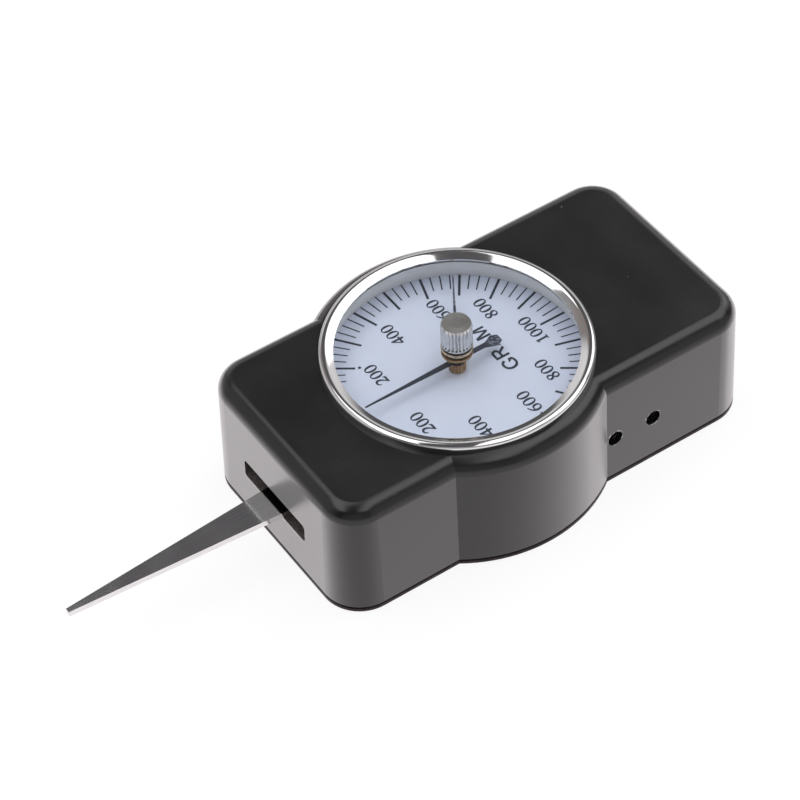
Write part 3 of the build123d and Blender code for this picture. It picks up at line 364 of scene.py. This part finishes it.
FINISHES = {
    "black_case": finish("stoved_black_enamel", stoved_enamel),
    # zinc plate on stamped or turned steel: bluish bright, drifting slightly in tone
    "plated_steel": finish("zinc_plated_steel", worked_metal, "#c9cbce", "#a9abb0", 0.3,
                           (0.6, 0.6, 0.6), 0.002),
    # chrome plate on spun brass: mirror with the faintest spinning waves
    "chromed_ring": finish("bright_chrome_plate", worked_metal, "#e3e3e4", "#dcdcde", 0.07,
                           (7, 7, 0.5), 0.002, 0.03),
    "clear_lens": finish("clear_cast_acrylic", clear_acrylic),
    "pale_reflector": finish("matt_white_polystyrene", moulded_plastic, "#e6e5e4", "#dedddd",
                             0.5, 0.4),
    "dial_white": finish("matt_dial_paint", dial_paint),
    # turned and stamped brass: yellow, with lathe rings around upright pieces
    "brass": finish("turned_brass", worked_metal, "#c9a563", "#a98647", 0.24, (5, 5, 0.12),
                    0.004),
    # sintered bronze: redder and duller than the brass
    "bronze": finish("sintered_bronze", worked_metal, "#a9794a", "#8a6038", 0.38,
                     (0.2, 0.2, 0.2), 0.004),
    # turned steel: grey with fine lathe rings
    "turned_steel": finish("turned_steel", worked_metal, "#b4b5b8", "#929398", 0.26,
                           (5, 5, 0.12), 0.004),
    # tempered strip: darker, faintly blue, rolled along Y
    "spring_steel": finish("tempered_spring_steel", worked_metal, "#8b8f9b", "#6a6f7e", 0.28,
                           (0.15, 8, 0.15), 0.002),
    # ground and polished stainless: bright, with fine lines along the blade
    "polished_steel": finish("ground_stainless_steel", worked_metal, "#efeeef", "#dfdedf", 0.09,
                             (0.16, 14, 0.16), 0.001, 0.02),
    "dark_pointer": finish("blue_black_lacquer", pointer_lacquer),
    "plated_knob": finish("nickel_plated_brass", knob_plate),
    # vulcanised fibre: nearly black and dry
    "black_washer": finish("black_vulcanised_fibre", moulded_plastic, "#1c1b1a", "#131211", 0.7,
                           0.3),
}
ink = finish("navy_screen_ink", screen_ink)

# brass that hands and lamp light reach: dulled to a pale tan, blotched where it was touched
dulled_brass = finish("dulled_turned_brass", worked_metal, "#e6d8c6", "#ae9a80", 0.38,
                      (0.7, 0.7, 0.35), 0.006)
# brass behind the lens: clouded, so that it shows brown in the narrow gap
clouded_brass = finish("clouded_turned_brass", worked_metal, "#c0a07c", "#93765a", 0.55,
                       (0.7, 0.7, 0.35), 0.006)
# black passivated zinc on the pressed cover: nearly black, faintly brown where the film is thin
passivated_zinc = finish("black_passivated_zinc_plate", worked_metal, "#3a3332", "#2a2627", 0.32,
                         (1.2, 1.2, 1.2), 0.003)
OWN_FINISHES = {"knob_bush": dulled_brass, "pointer_hub": clouded_brass,
                "bush_nut": clouded_brass, "back_cover": passivated_zinc}

for part in frame["record"]["subparts"]:
    cad_materials = nodes[part["node"]].data.materials
    cad_materials.clear()
    cad_materials.append(OWN_FINISHES.get(part["node"], FINISHES[part["material_slot"]]))


# ---------------------------------------------------------------- spun ring
def crown_slope(distance):
    for (a, low), (b, high) in zip(RING_SLOPES, RING_SLOPES[1:]):
        if distance <= b:
            return radians(low + (high - low) * (distance - a) / (b - a))


def crown_outline(steps=72):
    """Crown from the inner edge to the outer wall as (distance from the edge, drop), in mm."""
    places = [RING_WIDTH * (1 - cos(i * pi / steps / 2)) for i in range(steps + 1)]
    drops = {CROWN_AT: 0.0}
    for side in (sorted(d for d in places if d > CROWN_AT),
                 sorted((d for d in places if d < CROWN_AT), reverse=True)):
        at, drop = CROWN_AT, 0.0
        for place in side:
            drop += tan(crown_slope((at + place) / 2)) * (place - at)
            at = place
            drops[place] = drop
    return sorted(drops.items(), reverse=True)


def turned_piece(name, outline, segments=256):
    """Piece turned round the dial's axis from a closed outline of (radius, height) in metres,
    which runs from the inner foot up over the crown and down."""
    mesh = bpy.data.meshes.new(name)
    verts = [(r * cos(2 * pi * i / segments), r * sin(2 * pi * i / segments), z)
             for i in range(segments) for r, z in outline]
    count = len(outline)
    faces = [(i * count + j, (i + 1) % segments * count + j,
              (i + 1) % segments * count + (j + 1) % count, i * count + (j + 1) % count)
             for i in range(segments) for j in range(count)]
    mesh.from_pydata(verts, [], faces)
    face_outwards(mesh)
    mesh.shade_smooth()
    mesh.set_sharp_from_angle(angle=radians(35))
    return placed(name, mesh)


skirt_radius = ring_high.x - (RING_LIP + RING_PLAY) * MM
skirt_bore = skirt_radius - SKIRT_WALL * MM
crown = [(ring_high.x - d * MM, ring_high.z - drop * MM) for d, drop in crown_outline()]
ring = turned_piece("spun_ring", [(crown[0][0], lens_top)] + crown + [
    (ring_high.x, housing_high.z), (skirt_radius, housing_high.z), (skirt_radius, ring_low.z),
    (skirt_bore, ring_low.z), (skirt_bore, lens_top)])
ring.data.materials.append(FINISHES["chromed_ring"])
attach(ring, "case")
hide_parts("bezel_ring")


# ---------------------------------------------------------------- scale ticks
def tick_tree():
    """Geometry nodes that lay one bar of ink for each tick round the dial."""
    tree = bpy.data.node_groups.new("scale_ticks", "GeometryNodeTree")
    tree.interface.new_socket("Geometry", in_out="OUTPUT", socket_type="NodeSocketGeometry")
    for kind, names in (
            ("Int", ("Tick Count", "Ticks per Long Tick", "First Tick")),
            ("Float", ("Outer Radius", "Long Length", "Short Length", "Long Width",
                       "Short Width", "Ink Height")),
            ("Material", ("Ink",))):
        for name in names:
            tree.interface.new_socket(name, in_out="INPUT", socket_type="NodeSocket" + kind)
    given = node(tree, "NodeGroupInput")
    circle = node(tree, "GeometryNodeMeshCircle", {
        "Vertices": given["Tick Count"], "Radius": given["Outer Radius"]})["Mesh"]
    index = node(tree, "GeometryNodeInputIndex")[0]
    place = node(tree, "ShaderNodeMath", [index, given["Ticks per Long Tick"]],
                 operation="MODULO")[0]
    is_long = node(tree, "ShaderNodeMath", [place, 0.5], operation="LESS_THAN")[0]
    length, width = [
        node(tree, "ShaderNodeMix", {
            0: is_long, 2: given["Short " + size], 3: given["Long " + size]})[0]
        for size in ("Length", "Width")]
    size = node(tree, "ShaderNodeCombineXYZ", [length, width, given["Ink Height"]])[0]
    last = node(tree, "ShaderNodeMath", [given["Tick Count"], given["First Tick"]],
                operation="SUBTRACT")[0]
    after_first = node(tree, "FunctionNodeCompare", {2: index, 3: given["First Tick"]},
                       data_type="INT", operation="GREATER_EQUAL")[0]
    before_last = node(tree, "FunctionNodeCompare", {2: index, 3: last},
                       data_type="INT", operation="LESS_EQUAL")[0]
    printed_tick = node(tree, "FunctionNodeBooleanMath", [after_first, before_last],
                        operation="AND")[0]
    turn = node(tree, "ShaderNodeMath", [index, 2 * pi], operation="MULTIPLY")[0]
    turn = node(tree, "ShaderNodeMath", [turn, given["Tick Count"]], operation="DIVIDE")[0]
    outward = node(tree, "ShaderNodeCombineXYZ", [0.0, 0.0, turn])[0]
    bar = node(tree, "GeometryNodeMeshCube", {"Size": (1, 1, 1)})["Mesh"]
    inward = node(tree, "GeometryNodeTransform", {
        "Geometry": bar, "Translation": (-0.5, 0, 0)})[0]
    bars = node(tree, "GeometryNodeInstanceOnPoints", {
        "Points": circle, "Selection": printed_tick, "Instance": inward,
        "Rotation": outward, "Scale": size})[0]
    real = node(tree, "GeometryNodeRealizeInstances", {"Geometry": bars})[0]
    inked = node(tree, "GeometryNodeSetMaterial", {"Geometry": real, "Material": given["Ink"]})
    node(tree, "NodeGroupOutput", {"Geometry": inked[0]})
    return tree


def plain_mesh(name, holder):
    """What an object's modifiers or curve make, as a plain mesh. The holder is removed."""
    evaluated = holder.evaluated_get(bpy.context.evaluated_depsgraph_get())
    mesh = bpy.data.meshes.new_from_object(evaluated)
    mesh.name = name
    holder.modifiers.clear()
    bpy.data.objects.remove(holder)
    return mesh


def made_by(tree, name, values):
    """Plain mesh that a geometry node tree makes from the named values."""
    holder = placed(name + "_source", bpy.data.meshes.new(name + "_source"))
    modifier = holder.modifiers.new("made", "NODES")
    modifier.node_group = tree
    for socket in tree.interface.items_tree:
        if socket.in_out == "INPUT":
            modifier[socket.identifier] = values[socket.name]
    return plain_mesh(name, holder)


ink_lift = Matrix.Translation((0, 0, dial_top + (INK_HEIGHT - INK_SINK) * MM / 2))
tick_mesh = made_by(tick_tree(), "scale_ticks", {
    "Tick Count": TICK_COUNT, "Ticks per Long Tick": TICKS_PER_HUNDRED,
    "First Tick": BLANK_TICKS, "Outer Radius": TICK_OUTER_RADIUS * MM,
    "Long Length": LONG_TICK * MM, "Short Length": SHORT_TICK * MM,
    "Long Width": LONG_TICK_WIDTH * MM, "Short Width": SHORT_TICK_WIDTH * MM,
    "Ink Height": (INK_HEIGHT + INK_SINK) * MM, "Ink": ink})
tick_mesh.transform(ink_lift @ Matrix.Rotation(-pi / 2, 4, "Z"))
ticks = placed("scale_ticks", tick_mesh)


# ---------------------------------------------------------------- numbers and unit lettering
def outlines(path):
    """Closed outlines of a glyph as lists of points."""
    words = path.split()
    loops, at = [], 0
    while at < len(words):
        step = {"M": 1, "L": 1, "C": 3}[words[at]]
        points = [(float(words[at + 1 + 2 * i]), float(words[at + 2 + 2 * i]))
                  for i in range(step)]
        if words[at] == "M":
            loops.append(points)
        elif words[at] == "L":
            loops[-1].append(points[0])
        else:
            (ax, ay), (bx, by), (cx, cy), (dx, dy) = loops[-1][-1], *points
            for i in range(1, CURVE_STEPS + 1):
                t = i / CURVE_STEPS
                a, b, c, d = (1 - t) ** 3, 3 * t * (1 - t) ** 2, 3 * t * t * (1 - t), t ** 3
                loops[-1].append((a * ax + b * bx + c * cx + d * dx,
                                  a * ay + b * by + c * cy + d * dy))
        at += 1 + 2 * step
    return [loop[:-1] for loop in loops]


def area(loop):
    """Twice the signed area of a closed outline."""
    return sum(ax * by - bx * ay for (ax, ay), (bx, by) in zip(loop, loop[1:] + loop[:1]))


def add_outlines(curve, loops, scale, x, y):
    """Adds outlines to a flat curve, scaled to mm with the glyph's origin at x, y. The first
    runs anticlockwise and the holes clockwise, so that the curve's offset thickens the ink."""
    for number, loop in enumerate(loops):
        if (area(loop) > 0) != (number == 0):
            loop = loop[::-1]
        spline = curve.splines.new("POLY")
        spline.points.add(len(loop) - 1)
        for point, (px, py) in zip(spline.points, loop):
            point.co = ((x + px * scale) * MM, (y + py * scale) * MM, 0, 1)
        spline.use_cyclic_u = True


def printed(name, rows):
    """Filled flat curve for rows of (text, height, cap, pitch, x, y), centred and read from +Y."""
    curve = bpy.data.curves.new(name + "_outline", "CURVE")
    curve.dimensions = "2D"
    curve.fill_mode = "BOTH"
    curve.extrude = (INK_HEIGHT + INK_SINK) * MM / 2
    curve.offset = INK_SPREAD * MM
    for text, height, cap, pitch, x, y in rows:
        scale = height / cap
        for place, letter in enumerate(text):
            width = GLYPH_WIDTHS.get(letter, FIGURE_WIDTH) * scale
            left = (place - (len(text) - 1) / 2) * pitch - width / 2 - x
            add_outlines(curve, outlines(GLYPHS[letter]), scale, left, -y - height / 2)
    return curve


def flat_piece(name, curve):
    """Closed ink piece on the dial from a filled flat curve, turned to read from +Y."""
    mesh = plain_mesh(name, placed(name + "_outline", curve))
    mesh.transform(ink_lift @ Matrix.Rotation(pi, 4, "Z"))
    face_outwards(mesh, merge=True)
    mesh.materials.clear()
    mesh.materials.append(ink)
    return placed(name, mesh)


number_curve = printed("scale_numbers", [
    (text, DIGIT_HEIGHT, FIGURE_CAP, DIGIT_PITCH, x, y) for text, x, y in NUMBER_PLACES])
dot = [(DOT_RADIUS * cos(i * pi / 8), DOT_RADIUS * sin(i * pi / 8)) for i in range(16)]
add_outlines(number_curve, [dot], 1, -DOT_PLACE[0], -DOT_PLACE[1])
numbers = flat_piece("scale_numbers", number_curve)
unit = flat_piece("unit_lettering", printed("unit_lettering", [
    ("GRAM", UNIT_HEIGHT, LETTER_CAP, UNIT_PITCH, *UNIT_PLACE)]))
for piece in (ticks, numbers, unit):
    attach(piece, "case")

# ---------------------------------------------------------------- studio floor, in metres
FLOOR_HALF = 4.0
FLOOR_GLOW = 0.88            # how white the paper shows to the camera and in gloss and glass
FLOOR_GREY = 0.18            # what it gives back of the lamps, which draws the shadow


def white_paper(tree):
    """White paper: shows white to the camera and in gloss and glass, and keeps a soft shadow."""
    path = node(tree, "ShaderNodeLightPath")
    seen = path["Is Camera Ray"]
    for ray in ("Is Glossy Ray", "Is Transmission Ray"):
        seen = node(tree, "ShaderNodeMath", [seen, path[ray]], operation="ADD", use_clamp=True)[0]
    glow = node(tree, "ShaderNodeMath", [seen, FLOOR_GLOW], operation="MULTIPLY")[0]
    tone = node(tree, "ShaderNodeMix", {
        0: path["Is Glossy Ray"], 6: (1, 1, 1, 1), 7: (1, 0.95, 0.965, 1)},
        data_type="RGBA")[2]
    shine = node(tree, "ShaderNodeEmission", {"Color": tone, "Strength": glow})[0]
    matt = node(tree, "ShaderNodeBsdfDiffuse", {"Color": (FLOOR_GREY,) * 3 + (1,)})[0]
    return node(tree, "ShaderNodeAddShader", [shine, matt])[0]


floor_mesh = bpy.data.meshes.new("studio_floor")
floor_mesh.from_pydata([(FLOOR_HALF * x, FLOOR_HALF * y, 0)
                        for x, y in ((-1, -1), (1, -1), (1, 1), (-1, 1))], [], [(0, 1, 2, 3)])
floor_mesh.materials.append(finish("white_paper", white_paper))
floor = placed("studio_floor", floor_mesh)

# ---------------------------------------------------------------- studio room and lamps
# Directions seen from the camera's side of the gauge.
FAR = Vector((-0.807, 0.590, 0))
RIGHT = Vector((0.590, 0.807, 0))
UP = Vector((0, 0, 1))
ROOM_TONE = (0.105, 0.102, 0.105, 1)
# Pale walls and cards: degrees round from FAR towards RIGHT and above the floor, degrees of
# full tone and of fade, linear colour.
CARDS = [
    (-84, 18, 26, 48, (0.62, 0.61, 0.60)),
    (-27, 24, 8, 16, (0.80, 0.78, 0.77)),
    (-5, 26, 6, 16, (0.80, 0.78, 0.77)),
    (18, 26, 6, 16, (0.80, 0.78, 0.77)),
    (42, 28, 9, 16, (0.90, 0.88, 0.87)),
    (-36, 44, 5, 12, (0.28, 0.24, 0.22)),
    (108, 12, 22, 40, (0.60, 0.59, 0.59)),
    (177, 14, 16, 40, (0.45, 0.44, 0.44)),
]


def headed(degrees):
    """Level direction, in degrees round from FAR towards RIGHT."""
    return cos(radians(degrees)) * FAR + sin(radians(degrees)) * RIGHT


world = bpy.data.worlds.new("studio_room")
bpy.context.scene.world = world
world.use_nodes = True
tree = world.node_tree
tree.nodes.clear()
towards = node(tree, "ShaderNodeTexCoord")["Generated"]
room = ROOM_TONE
for azimuth, elevation, full, fade, colour in CARDS:
    card = cos(radians(elevation)) * headed(azimuth) + sin(radians(elevation)) * UP
    near = node(tree, "ShaderNodeVectorMath", [towards, card], operation="DOT_PRODUCT")["Value"]
    share = node(tree, "ShaderNodeMapRange", [
        near, cos(radians(fade)), cos(radians(full)), 0, 1])[0]
    room = node(tree, "ShaderNodeMix", {0: share, 6: room, 7: (*colour, 1)},
                data_type="RGBA")[2]
camera_ray = node(tree, "ShaderNodeLightPath")["Is Camera Ray"]
room = node(tree, "ShaderNodeMix", {0: camera_ray, 6: room, 7: (1, 1, 1, 1)},
            data_type="RGBA")[2]
background = node(tree, "ShaderNodeBackground", {"Color": room, "Strength": 1.0})[0]
node(tree, "ShaderNodeOutputWorld", {"Surface": background})

# Soft boxes, flat panels over the gauge. The corner towards the far wall and the middle, the
# heading of the inner edge from there (degrees from FAR towards RIGHT), length, width to the
# right of the heading (both in panel heights) and radiance.
BOX_HEIGHT = 0.8
SOFT_BOXES = [
    ("right_soft_box", (0.64, 0.03), 173.5, 1.35, -0.42, 1.85),
    ("far_right_soft_box", (0.62, 0.46), 173.5, 0.60, -0.70, 1.85),
    ("low_right_soft_box", (0.70, 0.11), 36.0, 1.15, 0.55, 1.5),
    ("left_soft_box", (0.57, -0.04), 197.0, 1.30, 0.45, 1.85),
]
for name, (far, right), heading, length, width, radiance in SOFT_BOXES:
    lamp = bpy.data.lights.new(name, "AREA")
    lamp.shape = "RECTANGLE"
    lamp.size = length * BOX_HEIGHT
    lamp.size_y = abs(width) * BOX_HEIGHT
    lamp.energy = radiance * pi * lamp.size * lamp.size_y
    ahead, beside = headed(heading), headed(heading + 90)
    middle = far * FAR + right * RIGHT + ahead * length / 2 + beside * width / 2 + UP
    placed(name, lamp).matrix_world = (
        Matrix.Translation(middle * BOX_HEIGHT)
        @ Matrix.Rotation(atan2(ahead.y, ahead.x), 4, "Z"))

# ---------------------------------------------------------------- camera
CAMERA_PLACE = (0.31847, -0.21358, 0.42713)
CAMERA_RIGHT = Vector((0.56310, 0.82563, -0.03525))
CAMERA_UP = Vector((-0.59233, 0.43299, 0.67946))
camera_data = bpy.data.cameras.new("camera")
camera_data.sensor_width = 36.0
camera_data.lens = 128.0
camera_data.clip_start, camera_data.clip_end = 0.01, 20.0
camera = placed("camera", camera_data)
axes = Matrix((CAMERA_RIGHT, CAMERA_UP, CAMERA_RIGHT.cross(CAMERA_UP)))
camera.matrix_world = Matrix.Translation(CAMERA_PLACE) @ axes.transposed().to_4x4()
bpy.context.scene.camera = camera
bpy.context.scene.view_settings.view_transform = "Standard"
